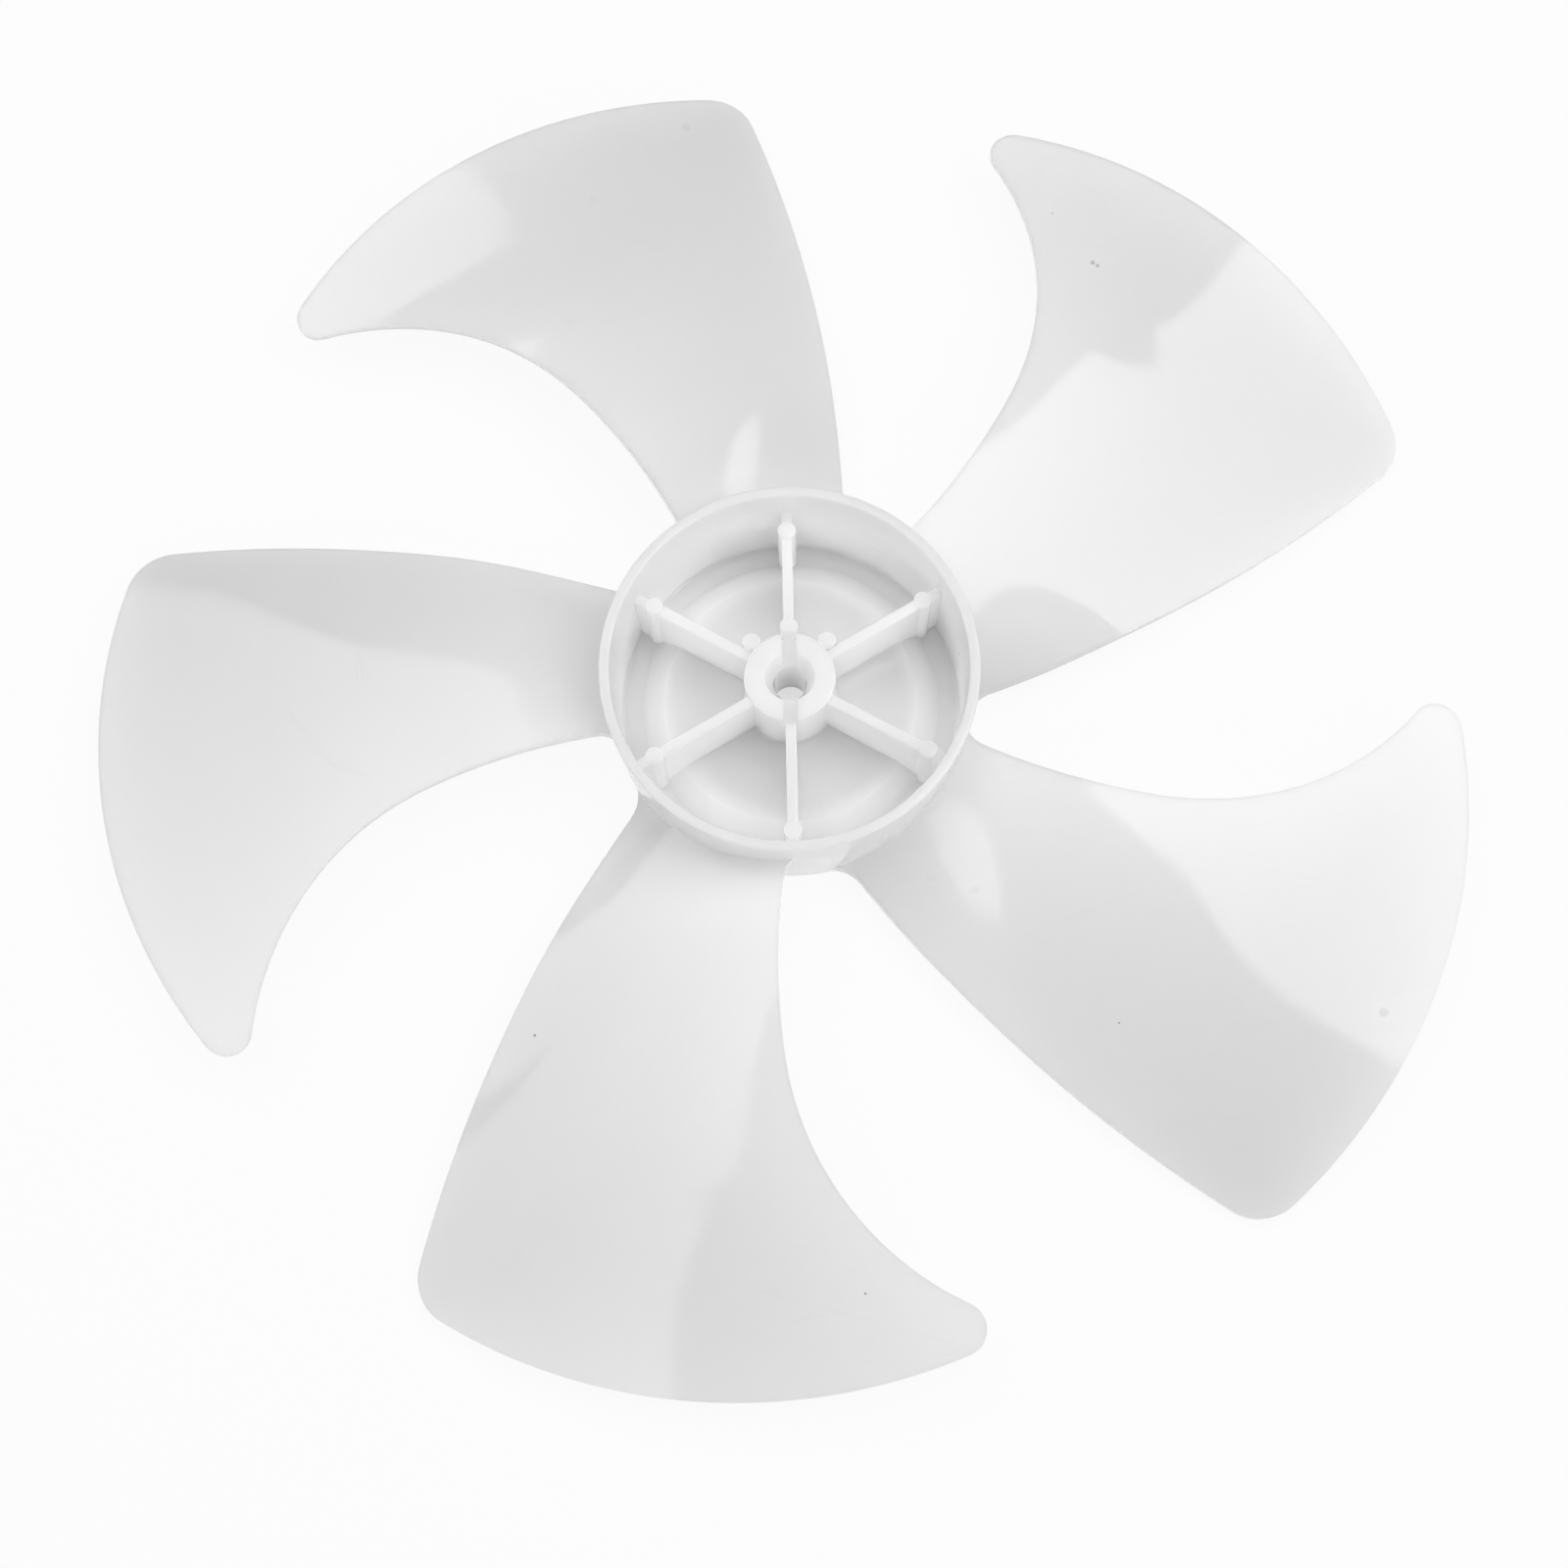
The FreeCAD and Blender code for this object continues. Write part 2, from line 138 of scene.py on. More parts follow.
def milky_plastic():
    """Semi-gloss milky plastic: faint clouding, dust, dirt spots, fine handling scratches and flow waviness."""
    plastic = bpy.data.materials.new("milky_plastic")
    plastic.use_nodes = True
    tree = plastic.node_tree
    new = tree.nodes.new
    place = new("ShaderNodeTexCoord").outputs["Object"]

    clouds = noise(tree, place, CLOUD_SCALE, CLOUD_DETAIL)
    milk = feed(tree, new("ShaderNodeValToRGB"), {"Fac": clouds})
    for stop, (position, colour) in zip(milk.color_ramp.elements, MILK_RAMP):
        stop.position = position
        stop.color = colour

    dust = feed(tree, new("ShaderNodeTexVoronoi"), {"Vector": place, "Scale": DUST_SCALE})
    speck = maths(tree, "LESS_THAN", dust.outputs["Distance"], DUST_SIZE)
    grain = feed(tree, new("ShaderNodeSeparateColor"), {"Color": dust.outputs["Color"]})
    chosen = maths(tree, "GREATER_THAN", grain.outputs["Red"], DUST_LIMIT)
    dirt = maths(tree, "MULTIPLY", speck, chosen)
    flat = new("ShaderNodeVectorMath")
    flat.operation = "MULTIPLY"
    plan = feed(tree, flat, {0: place, 1: (1, 1, 0)}).outputs["Vector"]
    for blade, along, across, radius, strength in MARKS:
        middle = Matrix.Rotation(TURN / BLADE_COUNT * blade, 3, "Z") @ Vector((along, across, 0))
        reach = new("ShaderNodeVectorMath")
        reach.operation = "DISTANCE"
        away = feed(tree, reach, {0: plan, 1: middle}).outputs["Value"]
        spot = ranged(tree, away, radius * MARK_CORE, radius, strength, 0)
        dirt = maths(tree, "MAXIMUM", dirt, spot)

    worn = ranged(tree, noise(tree, place, WORN_SCALE, WORN_DETAIL), *WORN_LIMITS, 0, 1)
    scratches = 0
    for angle in SCRATCH_ANGLES:
        along = feed(tree, new("ShaderNodeMapping"), {
            "Vector": place, "Rotation": (0, 0, angle), "Scale": SCRATCH_SCALE})
        cells = new("ShaderNodeTexVoronoi")
        cells.feature = "DISTANCE_TO_EDGE"
        cells.voronoi_dimensions = "2D"
        feed(tree, cells, {"Vector": along.outputs["Vector"], "Scale": 1})
        line = ranged(tree, cells.outputs["Distance"], 0, SCRATCH_WIDTH, 1, 0)
        scratches = maths(tree, "MAXIMUM", scratches, maths(tree, "MULTIPLY", line, worn))
    tint = new("ShaderNodeMix")
    tint.data_type = "RGBA"
    feed(tree, tint, {
        "Factor": maths(tree, "MULTIPLY_ADD", scratches, SCRATCH_TINT, dirt),
        "A": milk.outputs["Color"],
        "B": DIRT_COLOUR})

    gloss = ranged(tree, clouds, *GLOSS_CLOUDS, *ROUGHNESS)
    flow = feed(tree, new("ShaderNodeBump"), {
        "Height": noise(tree, place, WAVE_SCALE, WAVE_DETAIL),
        "Strength": WAVE_STRENGTH,
        "Distance": WAVE_DEPTH})
    feed(tree, tree.nodes["Principled BSDF"], {
        "Base Color": tint.outputs["Result"],
        "Roughness": maths(tree, "MULTIPLY_ADD", scratches, SCRATCH_DULLING, gloss),
        "Normal": flow.outputs["Normal"],
        "IOR": PLASTIC_IOR,
        "Subsurface Weight": 1.0,
        "Subsurface Radius": (1.0, 1.0, 1.0),
        "Subsurface Scale": SCATTER_LENGTH})
    return plastic


PLASTIC = milky_plastic()


def rounded_loop(corners, steps=5):
    """Points round a closed profile. Each corner is (across, up, rounding)."""
    points = []
    count = len(corners)
    for index, (across, up, rounding) in enumerate(corners):
        here = Vector((across, up))
        back = (Vector(corners[index - 1][:2]) - here).normalized()
        ahead = (Vector(corners[(index + 1) % count][:2]) - here).normalized()
        half = back.angle(ahead) / 2
        centre = here + (back + ahead).normalized() * rounding / math.sin(half)
        start = here + back * rounding / math.tan(half) - centre
        end = here + ahead * rounding / math.tan(half) - centre
        first = math.atan2(start.y, start.x)
        sweep = (math.atan2(end.y, end.x) - first + math.pi) % TURN - math.pi
        for step in range(steps + 1):
            angle = first + sweep * step / steps
            points.append(centre + rounding * Vector((math.cos(angle), math.sin(angle))))
    return points


def finished(name, mesh):
    """An object for a finished mesh: smooth, with its real corners kept sharp, in the milky plastic."""
    mesh.name = name
    mesh.materials.clear()
    mesh.materials.append(PLASTIC)
    mesh.polygons.foreach_set("use_smooth", [True] * len(mesh.polygons))
    mesh.set_sharp_from_angle(angle=SHARP_ANGLE)
    piece = bpy.data.objects.new(name, mesh)
    bpy.context.scene.collection.objects.link(piece)
    return piece


def mesh_of(name, bm):
    """A mesh made from an edit mesh, with its faces turned outwards."""
    bmesh.ops.recalc_face_normals(bm, faces=bm.faces)
    mesh = bpy.data.meshes.new(name)
    bm.to_mesh(mesh)
    bm.free()
    return mesh


def settled(piece):
    """Carries out a piece's modifiers, so that it is left a plain mesh."""
    graph = bpy.context.evaluated_depsgraph_get()
    graph.update()
    mesh = bpy.data.meshes.new_from_object(piece.evaluated_get(graph))
    old = piece.data
    piece.modifiers.clear()
    piece.data = mesh
    bpy.data.meshes.remove(old)


def turned(name, loop, around=240):
    """A closed profile turned about the shaft axis."""
    bm = bmesh.new()
    rings = []
    for step in range(around):
        angle = TURN * step / around
        spin = Vector((math.cos(angle), math.sin(angle)))
        rings.append([bm.verts.new((point.x * spin.x, point.x * spin.y, point.y)) for point in loop])
    for step in range(around):
        near, far = rings[step - 1], rings[step]
        for index in range(len(loop)):
            bm.faces.new((near[index - 1], far[index - 1], far[index], near[index]))
    return mesh_of(name, bm)


hub_loop = rounded_loop([
    (BORE_RADIUS, 0, BORE_ROUND),
    (RECESS_RADIUS, 0, RECESS_ROUND),
    (RECESS_RADIUS + RECESS_DRAFT, FRONT_FACE, RECESS_ROUND),
    (BASE_RADIUS, FRONT_FACE, BASE_ROUND),
    (RIM_RADIUS, RIM_HEIGHT, RIM_ROUND),
    (RIM_RADIUS - WALL_AT_RIM, RIM_HEIGHT, RIM_ROUND),
    (BASE_RADIUS - WALL_AT_BASE, GUTTER_FLOOR, FLOOR_ROUND),
    (GUTTER_RADIUS, GUTTER_FLOOR, FLOOR_ROUND),
    (PLATEAU_RADIUS, FLOOR_TOP, FLOOR_ROUND),
    (BOSS_RADIUS, FLOOR_TOP, FLOOR_ROUND),
    (BOSS_RADIUS, BOSS_TOP, BOSS_ROUND),
    (LEAD_IN_RADIUS, BOSS_TOP, BORE_ROUND),
    (BORE_RADIUS, BOSS_TOP - LEAD_IN_DEPTH, BORE_ROUND),
])
hub_cup = finished("hub_cup", turned("hub_cup", hub_loop))

# Ribs
# Six upright webs of the same plastic stiffen the cup, from the boss to the wall.
# Each has a round pad near the wall, where an ejector pin pushed the piece out of the mould.
# They are moulded with the cup, so their feet and ends run into its floor, wall and boss.
RIB_COUNT = 6
RIB_FIRST_ANGLE = math.radians(28.4)
RIB_THICKNESS = 2.6 * MM
RIB_TOP = 20.4 * MM
RIB_START = 9.0 * MM
RIB_END = 42.8 * MM
FOOT_ON_PLATEAU = 1.2 * MM
FOOT_IN_GUTTER = -2.2 * MM
FOOT_SINK_ON_PLATEAU = 1.0 * MM
FOOT_SINK_IN_GUTTER = 0.6 * MM
RIB_EDGE = 0.45 * MM
RIB_EDGE_STEPS = 4
PAD_RADIUS = 2.2 * MM
PAD_TOP = 21.0 * MM
PAD_FOOT_LIFT = 0.3 * MM
WALL_PAD_PLACE = 37.5 * MM
LEVEL = 0.001 * MM


def add_post(bm, place, radius, foot, top, edge, around=40, steps=4):
    """A round post with a rounded top edge, standing on the X axis at the given place."""
    profile = [(radius, foot)]
    for step in range(steps + 1):
        angle = math.pi / 2 * step / steps
        profile.append((radius - edge + edge * math.cos(angle), top - edge + edge * math.sin(angle)))
    rings = []
    for across, up in profile:
        ring = []
        for step in range(around):
            angle = TURN * step / around
            ring.append(bm.verts.new((place + across * math.cos(angle), across * math.sin(angle), up)))
        rings.append(ring)
    for low, high in zip(rings, rings[1:]):
        for step in range(around):
            bm.faces.new((low[step - 1], low[step], high[step], high[step - 1]))
    bm.faces.new(rings[-1])
    bm.faces.new(reversed(rings[0]))


def ring_tree():
    """Copies of one shape set round the shaft axis, an equal step apart."""
    tree = bpy.data.node_groups.new("set_round_the_shaft", "GeometryNodeTree")
    sockets = (("One", "NodeSocketGeometry"), ("Count", "NodeSocketInt"), ("First angle", "NodeSocketFloat"),
               ("Step angle", "NodeSocketFloat"), ("Plastic", "NodeSocketMaterial"))
    for word, kind in sockets:
        tree.interface.new_socket(word, in_out="INPUT", socket_type=kind)
    tree.interface.new_socket("Ring", in_out="OUTPUT", socket_type="NodeSocketGeometry")
    new = tree.nodes.new
    given = new("NodeGroupInput").outputs
    points = feed(tree, new("GeometryNodePoints"), {"Count": given["Count"]})
    index = new("GeometryNodeInputIndex").outputs["Index"]
    angle = maths(tree, "MULTIPLY_ADD", index, given["Step angle"], given["First angle"])
    spin = feed(tree, new("ShaderNodeCombineXYZ"), {"Z": angle})
    copies = feed(tree, new("GeometryNodeInstanceOnPoints"), {
        "Points": points.outputs["Points"],
        "Instance": given["One"],
        "Rotation": spin.outputs["Vector"]})
    solid = feed(tree, new("GeometryNodeRealizeInstances"), {"Geometry": copies.outputs["Instances"]})
    coat = feed(tree, new("GeometryNodeSetMaterial"), {
        "Geometry": solid.outputs["Geometry"],
        "Material": given["Plastic"]})
    feed(tree, new("NodeGroupOutput"), {"Ring": coat.outputs["Geometry"]})
    return tree


RING_TREE = ring_tree()


def set_round(piece, count, first_angle, step_angle):
    """Repeats a piece's mesh round the shaft axis and leaves it a plain mesh."""
    ring = piece.modifiers.new("ring", "NODES")
    ring.node_group = RING_TREE
    values = {"Count": count, "First angle": first_angle, "Step angle": step_angle, "Plastic": PLASTIC}
    for socket in RING_TREE.interface.items_tree:
        if socket.name in values:
            ring[socket.identifier] = values[socket.name]
    settled(piece)


rib_bm = bmesh.new()
rib_side = [
    (RIB_START, FOOT_ON_PLATEAU),
    (PLATEAU_RADIUS - FOOT_SINK_ON_PLATEAU, FOOT_ON_PLATEAU),
    (GUTTER_RADIUS - FOOT_SINK_IN_GUTTER, FOOT_IN_GUTTER),
    (RIB_END, FOOT_IN_GUTTER),
    (RIB_END, RIB_TOP),
    (RIB_START, RIB_TOP),
]
rib_face = rib_bm.faces.new([rib_bm.verts.new((along, -RIB_THICKNESS / 2, up)) for along, up in rib_side])
grown = bmesh.ops.extrude_face_region(rib_bm, geom=[rib_face])
bmesh.ops.translate(rib_bm, vec=(0, RIB_THICKNESS, 0),
                    verts=[item for item in grown["geom"] if isinstance(item, bmesh.types.BMVert)])
top_edges = [edge for edge in rib_bm.edges
             if all(abs(vert.co.z - RIB_TOP) < LEVEL for vert in edge.verts)
             and abs(edge.verts[0].co.x - edge.verts[1].co.x) > RIB_THICKNESS]
bmesh.ops.bevel(rib_bm, geom=top_edges, offset=RIB_EDGE, segments=RIB_EDGE_STEPS, profile=0.5, affect="EDGES")
ribs = finished("ribs", mesh_of("ribs", rib_bm))
set_round(ribs, RIB_COUNT, RIB_FIRST_ANGLE, TURN / RIB_COUNT)
wall_pad_bm = bmesh.new()
add_post(wall_pad_bm, WALL_PAD_PLACE, PAD_RADIUS, FOOT_IN_GUTTER + PAD_FOOT_LIFT, PAD_TOP, RIB_EDGE)
wall_pads = finished("wall_pads", mesh_of("wall_pads", wall_pad_bm))
set_round(wall_pads, RIB_COUNT, RIB_FIRST_ANGLE, TURN / RIB_COUNT)

# Boss pads
# Three more ejector pads stand against the boss, one on the second rib and one either side of it.
# They are round posts of the same plastic, moulded with the boss and the floor.
BOSS_PAD_COUNT = 3
BOSS_PAD_PLACE = 12.9 * MM
BOSS_PAD_STEP = math.radians(45)
pad_bm = bmesh.new()
add_post(pad_bm, BOSS_PAD_PLACE, PAD_RADIUS, FOOT_ON_PLATEAU + PAD_FOOT_LIFT, PAD_TOP, RIB_EDGE)
boss_pads = finished("boss_pads", mesh_of("boss_pads", pad_bm))
set_round(boss_pads, BOSS_PAD_COUNT, RIB_FIRST_ANGLE + TURN / RIB_COUNT - BOSS_PAD_STEP, BOSS_PAD_STEP)

# Blades
# Five broad swept blades of the same plastic grow from the hub wall, and are moulded in one with it.
# Each is a thin arched sheet, steeper and thicker at the root.
# Its plan is a hollow leading edge, an outer sweep and a full trailing edge, with rounded corners.
ROOT_RADIUS = 43.3 * MM
LEAD_CENTRE = Vector((-25.6, -165.3)) * MM
LEAD_RADIUS = 155.5 * MM
LEAD_JOIN_X = -88.1 * MM
LEAD_TIP_RADIUS = 71.4 * MM
OUTER_CENTRE = Vector((-30.7, 4.4)) * MM
OUTER_RADIUS = 138.9 * MM
TRAIL_CENTRE = Vector((-148.7, -291.7)) * MM
TRAIL_RADIUS = 339.2 * MM
TIP_ROUND = 6.0 * MM
CORNER_ROUND = 11.5 * MM
LEAD_FLARE = 6.0 * MM
TRAIL_FLARE = 10.0 * MM
NEAR_LEAD = Vector((-160, 0)) * MM
NEAR_TIP = Vector((-140, -90)) * MM
NEAR_TRAIL = Vector((-160, 50)) * MM
OUTLINE_STEP = 1.5 * MM
ARC_STEPS = 4
GRID_STEP = 2.4 * MM
GRID_MARGIN = 0.6 * GRID_STEP
SAME_POINT = 0.0001 * MM
EDGE_ANGLE = math.radians(60)
EDGE_ROUND = 0.5 * MM
EDGE_STEPS = 3
SECTION_PLACE = [-24.0 * MM, -48.0 * MM, -75.0 * MM, -105.0 * MM, -135.0 * MM, -174.0 * MM]
SECTION_HEIGHT = [14.2 * MM, 15.2 * MM, 16.3 * MM, 14.5 * MM, 10.2 * MM, 5.9 * MM]
SECTION_PITCH = [math.radians(angle) for angle in (20.0, 16.5, 11.8, 10.1, 7.4, 7.6)]
SECTION_ARCH = [162.0 * MM, 178.0 * MM, 203.0 * MM, 250.0 * MM, 325.0 * MM, 500.0 * MM]
SECTION_THICKNESS = [2.8 * MM, 2.5 * MM, 2.1 * MM, 1.9 * MM, 1.7 * MM, 1.5 * MM]


def circles_meet(centre_a, radius_a, centre_b, radius_b, near):
    """The crossing of two circles that lies nearer to a point."""
    gap = centre_b - centre_a
    along = (radius_a ** 2 - radius_b ** 2 + gap.length_squared) / (2 * gap.length)
    across = math.sqrt(radius_a ** 2 - along ** 2)
    ahead = gap.normalized()
    side = Vector((-ahead.y, ahead.x))
    both = [centre_a + ahead * along + side * across * sign for sign in (1, -1)]
    return min(both, key=lambda point: (point - near).length)


def arc_points(centre, start, end):
    """Points on the shorter arc about a centre, without its last point."""
    first = start - centre
    last = end - centre
    radius = first.length
    begin = math.atan2(first.y, first.x)
    sweep = (math.atan2(last.y, last.x) - begin + math.pi) % TURN - math.pi
    count = max(ARC_STEPS, round(abs(sweep) * radius / OUTLINE_STEP))
    angles = [begin + sweep * step / count for step in range(count)]
    return [centre + radius * Vector((math.cos(angle), math.sin(angle))) for angle in angles]


def towards(centre, point, radius):
    """The point at a distance from a centre, on the line to another point."""
    return centre + (point - centre).normalized() * radius


def blade_outline():
    """The closed plan of one blade, from the leading edge's root round the tip and back along the hub."""
    axis = Vector((0, 0))
    join_x = LEAD_JOIN_X - LEAD_CENTRE.x
    join = LEAD_CENTRE + Vector((join_x, math.sqrt(LEAD_RADIUS ** 2 - join_x ** 2)))
    tip_centre = towards(join, LEAD_CENTRE, LEAD_TIP_RADIUS)
    lead_flare = circles_meet(
        LEAD_CENTRE, LEAD_RADIUS - LEAD_FLARE, axis, ROOT_RADIUS + LEAD_FLARE, NEAR_LEAD)
    trail_flare = circles_meet(
        TRAIL_CENTRE, TRAIL_RADIUS + TRAIL_FLARE, axis, ROOT_RADIUS + TRAIL_FLARE, NEAR_TRAIL)
    tip_round = circles_meet(
        tip_centre, LEAD_TIP_RADIUS + TIP_ROUND, OUTER_CENTRE, OUTER_RADIUS - TIP_ROUND, NEAR_TIP)
    corner = circles_meet(
        OUTER_CENTRE, OUTER_RADIUS - CORNER_ROUND, TRAIL_CENTRE, TRAIL_RADIUS - CORNER_ROUND, NEAR_TRAIL)
    root_lead = towards(axis, lead_flare, ROOT_RADIUS)
    lead_start = towards(LEAD_CENTRE, lead_flare, LEAD_RADIUS)
    lead_end = towards(tip_centre, tip_round, LEAD_TIP_RADIUS)
    outer_start = towards(OUTER_CENTRE, tip_round, OUTER_RADIUS)
    outer_end = towards(OUTER_CENTRE, corner, OUTER_RADIUS)
    trail_start = towards(TRAIL_CENTRE, corner, TRAIL_RADIUS)
    trail_end = towards(TRAIL_CENTRE, trail_flare, TRAIL_RADIUS)
    root_trail = towards(axis, trail_flare, ROOT_RADIUS)
    return (arc_points(lead_flare, root_lead, lead_start)
            + arc_points(LEAD_CENTRE, lead_start, join)
            + arc_points(tip_centre, join, lead_end)
            + arc_points(tip_round, lead_end, outer_start)
            + arc_points(OUTER_CENTRE, outer_start, outer_end)
            + arc_points(corner, outer_end, trail_start)
            + arc_points(TRAIL_CENTRE, trail_start, trail_end)
            + arc_points(trail_flare, trail_end, root_trail)
            + arc_points(axis, root_trail, root_lead))


def along_blade(values, place):
    """A section size at any distance from the shaft: a smooth curve through the sections' values."""
    last = len(values) - 1
    slopes = []
    for index in range(len(values)):
        low, high = max(index - 1, 0), min(index + 1, last)
        slopes.append((values[high] - values[low]) / (SECTION_PLACE[high] - SECTION_PLACE[low]))
    index = 0
    while index < last - 1 and place < SECTION_PLACE[index + 1]:
        index += 1
    span = SECTION_PLACE[index + 1] - SECTION_PLACE[index]
    part = (place - SECTION_PLACE[index]) / span
    rest = 1 - part
    return (values[index] * (1 + 2 * part) * rest ** 2 + slopes[index] * span * part * rest ** 2
            + values[index + 1] * part ** 2 * (3 - 2 * part) - slopes[index + 1] * span * part ** 2 * rest)


def sheet_height(place, side):
    """Height of the blade's middle surface: an arch whose pitch and radius change along the blade."""
    arch = along_blade(SECTION_ARCH, place)
    pitch = along_blade(SECTION_PITCH, place)
    across = side + arch * math.sin(pitch)
    return (along_blade(SECTION_HEIGHT, place) - arch * math.cos(pitch) + math.sqrt(arch ** 2 - across ** 2))


def inside(outline, point):
    """Whether a point lies inside the plan."""
    within = False
    for a, b in zip(outline, outline[1:] + outline[:1]):
        if (a.y > point.y) != (b.y > point.y):
            if point.x < (b.x - a.x) * (point.y - a.y) / (b.y - a.y) + a.x:
                within = not within
    return within


def blade_mesh():
    """One blade: the plan filled with even triangles, lifted to the arched sheet and given its thickness."""
    outline = blade_outline()
    count = len(outline)
    low = Vector((min(point.x for point in outline), min(point.y for point in outline)))
    high = Vector((max(point.x for point in outline), max(point.y for point in outline)))
    filling = []
    row_step = GRID_STEP * math.sqrt(3) / 2
    for row in range(int((high.y - low.y) / row_step) + 1):
        shift = GRID_STEP / 2 * (row % 2)
        for column in range(int((high.x - low.x) / GRID_STEP) + 1):
            point = Vector((low.x + shift + column * GRID_STEP, low.y + row * row_step))
            if inside(outline, point) and min((point - edge).length for edge in outline) > GRID_MARGIN:
                filling.append(point)
    edges = [(index, (index + 1) % count) for index in range(count)]
    points, _, faces, _, _, _ = delaunay_2d_cdt(
        outline + filling, edges, [list(range(count))], 1, SAME_POINT)
    bm = bmesh.new()
    sides = []
    for sign in (1, -1):
        verts = []
        for point in points:
            lift = sign * along_blade(SECTION_THICKNESS, point.x) / 2
            verts.append(bm.verts.new((point.x, point.y, sheet_height(point.x, point.y) + lift)))
        sides.append(verts)
    back, front = sides
    for face in faces:
        bm.faces.new([back[index] for index in face])
        bm.faces.new([front[index] for index in reversed(face)])
    for index in range(count):
        after = (index + 1) % count
        bm.faces.new((back[index], front[index], front[after], back[after]))
    rims = [edge for edge in bm.edges
            if len(edge.link_faces) == 2 and edge.calc_face_angle(0) > EDGE_ANGLE]
    bmesh.ops.bevel(bm, geom=rims, offset=EDGE_ROUND, segments=EDGE_STEPS, profile=0.5,
                    affect="EDGES", clamp_overlap=True)
    return mesh_of("blades", bm)


blades = finished("blades", blade_mesh())
set_round(blades, BLADE_COUNT, 0.0, TURN / BLADE_COUNT)

# Moulding
# Hub, ribs, pads and blades come out of one mould as a single piece, so their shapes are joined into one skin.
# The slot for the cross pin of the shaft lies across the boss, in line with two of the ribs.
SLOT_WIDTH = 3.4 * MM
SLOT_DEPTH = 5.5 * MM
SLOT_LENGTH = 23.0 * MM
SLOT_ANGLE = math.radians(88.4)
moulding = finished("moulding", hub_cup.data.copy())
slot_bm = bmesh.new()
bmesh.ops.create_cube(slot_bm, size=1, matrix=(
    Matrix.Rotation(SLOT_ANGLE, 4, "Z")
    @ Matrix.Translation((0, 0, BOSS_TOP))
    @ Matrix.Diagonal((SLOT_LENGTH, SLOT_WIDTH, 2 * SLOT_DEPTH, 1))))
pin_slot = finished("pin_slot", mesh_of("pin_slot", slot_bm))
for shape in (ribs, wall_pads, boss_pads, blades, pin_slot):
    joint = moulding.modifiers.new(shape.name, "BOOLEAN")
    joint.operation = "DIFFERENCE" if shape is pin_slot else "UNION"
    joint.solver = "EXACT"
    joint.object = shape
settled(moulding)
moulding.data.set_sharp_from_angle(angle=SHARP_ANGLE)
for shape in (hub_cup, ribs, wall_pads, boss_pads, blades, pin_slot):
    bpy.data.objects.remove(shape)
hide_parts("fan_blade")
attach(moulding, "root")

# Floor
# A pale plain table top under the hub's front face. It shows white and keeps a faint soft shadow of the blade.
# The part under the hub, seen only through the bore, shows less white, because little light gets there.
FLOOR_SIZE = 6.0
FLOOR_GAP = 0.2 * MM
FLOOR_COLOUR = (0.8, 0.8, 0.8, 1)
WHITE_UNDER_HUB = 0.65
WHITE_BESIDE_HUB = 0.92
floor_bm = bmesh.new()
bmesh.ops.create_grid(floor_bm, x_segments=1, y_segments=1, size=FLOOR_SIZE / 2)
bmesh.ops.translate(floor_bm, vec=(0, 0, FRONT_FACE - FLOOR_GAP), verts=floor_bm.verts)
floor_mesh = bpy.data.meshes.new("floor")
floor_bm.to_mesh(floor_mesh)
floor_bm.free()
table = bpy.data.objects.new("floor", floor_mesh)
bpy.context.scene.collection.objects.link(table)
white_top = bpy.data.materials.new("white_table_top")
white_top.use_nodes = True
top = white_top.node_tree
top.nodes.clear()
rays = top.nodes.new("ShaderNodeLightPath").outputs
mirrored = maths(top, "MAXIMUM", rays["Is Glossy Ray"], rays["Is Transmission Ray"])
direct = maths(top, "MAXIMUM", rays["Is Camera Ray"], mirrored)
spread = top.nodes.new("ShaderNodeVectorMath")
spread.operation = "LENGTH"
feed(top, spread, {0: top.nodes.new("ShaderNodeTexCoord").outputs["Object"]})
uncovered = ranged(top, spread.outputs["Value"], RECESS_RADIUS, BASE_RADIUS - BASE_ROUND,
                   WHITE_UNDER_HUB, WHITE_BESIDE_HUB)
matt = feed(top, top.nodes.new("ShaderNodeBsdfDiffuse"), {"Color": FLOOR_COLOUR})
glow = feed(top, top.nodes.new("ShaderNodeEmission"), {"Strength": 1.0})
blend = feed(top, top.nodes.new("ShaderNodeMixShader"), {
    "Fac": maths(top, "MULTIPLY", direct, uncovered),
    1: matt.outputs["BSDF"],
    2: glow.outputs["Emission"]})
feed(top, top.nodes.new("ShaderNodeOutputMaterial"), {"Surface": blend.outputs["Shader"]})
floor_mesh.materials.append(white_top)

# Light
# Soft studio light: soft boxes hang flat over each side of the table, and their edges show as the boundaries
# between lighter and darker reflections on the glossy blades. Two more boxes only fill, and are not mirrored:
# one between them, and one low in front that lights the wall of the hub and the sides of the ribs.
WHITE = (1, 1, 1, 1)
ROOM_LIGHT = 0.10
DIFFUSE_BOUNCES = 8
ALL_BOUNCES = 12
BOX_HEIGHT = 1.0
# Boxes overhead: name, place across and up the table, turn in degrees, width, length, brightness, mirrored.
OVERHEAD_BOXES = [
    ("right_box", 0.839, -0.029, 49, 0.96, 1.2, 2.4, True),
    ("left_box", -0.60, 0.42, -9, 0.74, 1.4, 1.55, True),
    ("far_left_box", -1.144, 0.759, -9, 0.44, 0.9, 1.55, True),
    ("top_box", 0.0, 0.5, 0, 0.8, 1.2, 1.4, False),
]
FRONT_DISTANCE = 1.3
FRONT_ELEVATION = math.radians(28)
FRONT_WIDTH = 2.2
FRONT_LENGTH = 0.7
FRONT_BRIGHTNESS = 1.35
room = bpy.data.worlds.new("room")
bpy.context.scene.world = room
room.use_nodes = True
air = room.node_tree
dim = feed(air, air.nodes["Background"], {"Color": WHITE, "Strength": ROOM_LIGHT})
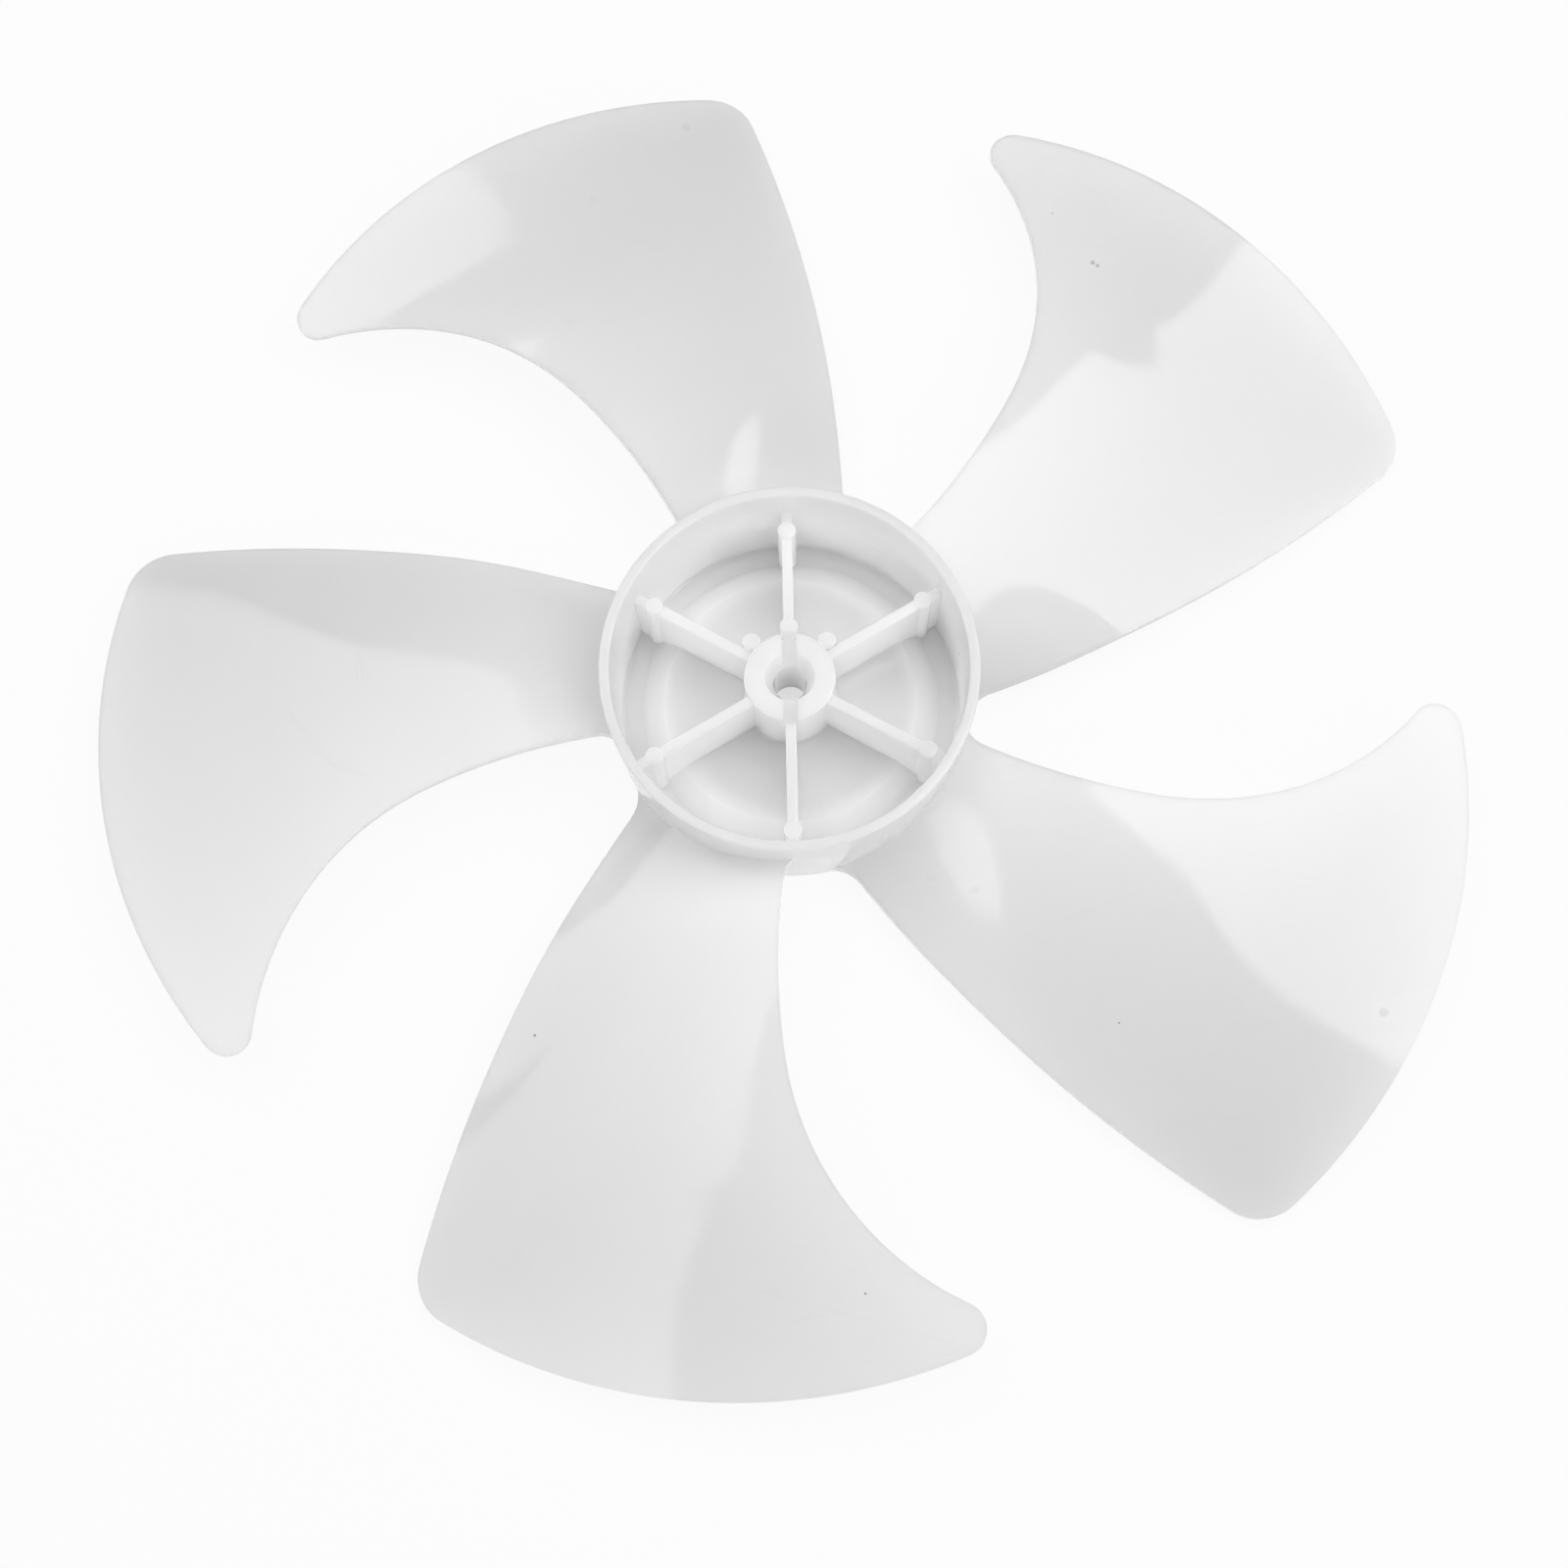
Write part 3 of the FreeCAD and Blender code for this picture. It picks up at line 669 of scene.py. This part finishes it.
backdrop = feed(air, air.nodes.new("ShaderNodeBackground"), {"Color": WHITE, "Strength": 1.0})
either = feed(air, air.nodes.new("ShaderNodeMixShader"), {
    "Fac": air.nodes.new("ShaderNodeLightPath").outputs["Is Camera Ray"],
    1: dim.outputs["Background"],
    2: backdrop.outputs["Background"]})
feed(air, air.nodes["World Output"], {"Surface": either.outputs["Shader"]})
bpy.context.scene.cycles.diffuse_bounces = DIFFUSE_BOUNCES
bpy.context.scene.cycles.max_bounces = ALL_BOUNCES


def soft_box(name, where, width, length, brightness, in_gloss):
    """A soft box facing down its own axis, its power worked out from the brightness of its face."""
    lamp = bpy.data.lights.new(name, "AREA")
    lamp.shape = "RECTANGLE"
    lamp.size = width
    lamp.size_y = length
    lamp.energy = brightness * math.pi * width * length
    box = bpy.data.objects.new(name, lamp)
    bpy.context.scene.collection.objects.link(box)
    box.matrix_world = where
    box.visible_glossy = in_gloss


for name, across, up, angle, width, length, brightness, in_gloss in OVERHEAD_BOXES:
    hung = Matrix.Translation((across, up, BOX_HEIGHT)) @ Matrix.Rotation(math.radians(angle), 4, "Z")
    soft_box(name, hung, width, length, brightness, in_gloss)
leaning = Matrix.Rotation(math.pi / 2 - FRONT_ELEVATION, 4, "X") @ Matrix.Translation((0, 0, FRONT_DISTANCE))
soft_box("front_box", leaning, FRONT_WIDTH, FRONT_LENGTH, FRONT_BRIGHTNESS, False)

# Camera
# It looks down on the open back of the hub, tilted from the shaft axis as in the photograph.
# Tilt and roll are in radians.
CAMERA_TILT = 0.264960
CAMERA_ROLL = 0.049559
CAMERA_SHIFT_X = 1.520 * MM
CAMERA_SHIFT_Y = 22.656 * MM
CAMERA_DISTANCE = 549.48 * MM
AIM_HEIGHT = 9.6 * MM
SENSOR = 36.0
FOCAL_PIXELS = 2300
PHOTO_PIXELS = 1600
NEAR_CLIP = 0.01
camera_data = bpy.data.cameras.new("camera")
camera_data.sensor_width = SENSOR
camera_data.lens = SENSOR * FOCAL_PIXELS / PHOTO_PIXELS
camera_data.clip_start = NEAR_CLIP
camera = bpy.data.objects.new("camera", camera_data)
bpy.context.scene.collection.objects.link(camera)
facing = (Matrix.Rotation(CAMERA_ROLL, 4, "Z") @ Matrix.Rotation(-CAMERA_TILT, 4, "X")).transposed()
stand = facing @ Vector((-CAMERA_SHIFT_X, -CAMERA_SHIFT_Y, CAMERA_DISTANCE)) + Vector((0, 0, AIM_HEIGHT))
camera.matrix_world = Matrix.Translation(stand) @ facing
bpy.context.scene.camera = camera
bpy.context.scene.view_settings.view_transform = "Standard"
